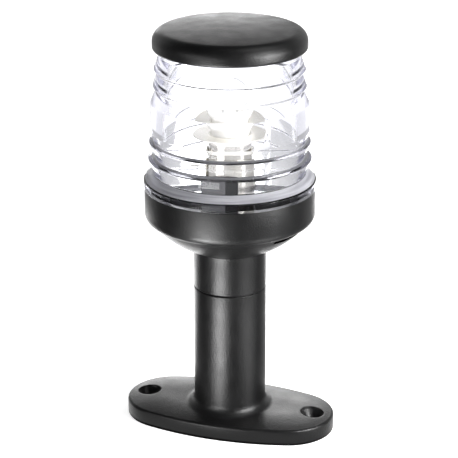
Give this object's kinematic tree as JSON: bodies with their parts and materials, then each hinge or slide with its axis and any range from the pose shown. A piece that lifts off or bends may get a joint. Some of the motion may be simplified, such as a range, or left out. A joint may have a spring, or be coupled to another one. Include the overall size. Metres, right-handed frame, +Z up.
{
  "type": "navigation light",
  "caption": "All-round boat navigation light: oval screw-down foot, hollow post, black bowl, twist-lock clear ribbed lens under a black cap, and a bayonet bulb in a sprung holder.",
  "frame": {"origin": "centre of the foot's underside, on the post's axis", "axes": "+Z up along the post, +X along the foot's length"},
  "size_m": [0.078, 0.061, 0.149],
  "materials": {
    "black_plastic": "satin black moulding, fine grain",
    "dark_plastic": "dark grey insulating moulding",
    "clear_lens": "clear polished moulding",
    "rubber": "soft black rubber",
    "steel": "plain stainless",
    "nickel": "bright nickel plate",
    "brass": "plain brass",
    "pale_metal": "pale pressed metal",
    "bulb_clear": "clear lamp glass",
    "insulator": "black lamp-cap glass",
    "tungsten": "drawn wire"
  },
  "bodies": {
    "housing": {"pedestal": "black_plastic", "bowl": "black_plastic", "neck_seal": "rubber", "neck_screws": "steel", "cable_grommet": "rubber", "lens_gasket": "rubber", "holder_stand": "dark_plastic", "stand_screws": "steel", "holder_shell": "nickel", "contact_carrier": "dark_plastic", "contact_springs": "steel", "terminal_tabs": "brass"},
    "contacts": {"contact_plungers": "brass"},
    "bulb": {"bulb_cap": "nickel", "bulb_pins": "nickel", "bulb_insulator": "insulator", "bulb_contacts": "steel", "bulb_flange": "pale_metal", "bulb_glass": "bulb_clear", "bulb_stem": "bulb_clear", "filament_leads": "steel", "filament": "tungsten"},
    "lens_head": {"lens": "clear_lens", "cap": "black_plastic", "cap_seal": "rubber", "cap_screw": "steel"}
  },
  "joints": [
    {"name": "lens_turn", "type": "hinge", "parent": "housing", "child": "lens_head", "pos_m": [0, 0, 0.091], "axis": [0, 0, 1], "range_deg": [0, 40]},
    {"name": "bulb_press", "type": "slide", "parent": "housing", "child": "contacts", "axis": [0, 0, -1], "range_m": [0, 0.002], "stiffness_N_per_m": 3000, "springref_m": -0.002, "deforming": ["contact_springs"]},
    {"name": "bulb_turn", "type": "hinge", "parent": "contacts", "child": "bulb", "pos_m": [0, 0, 0.098], "axis": [0, 0, 1], "range_deg": [0, 22]}
  ]
}
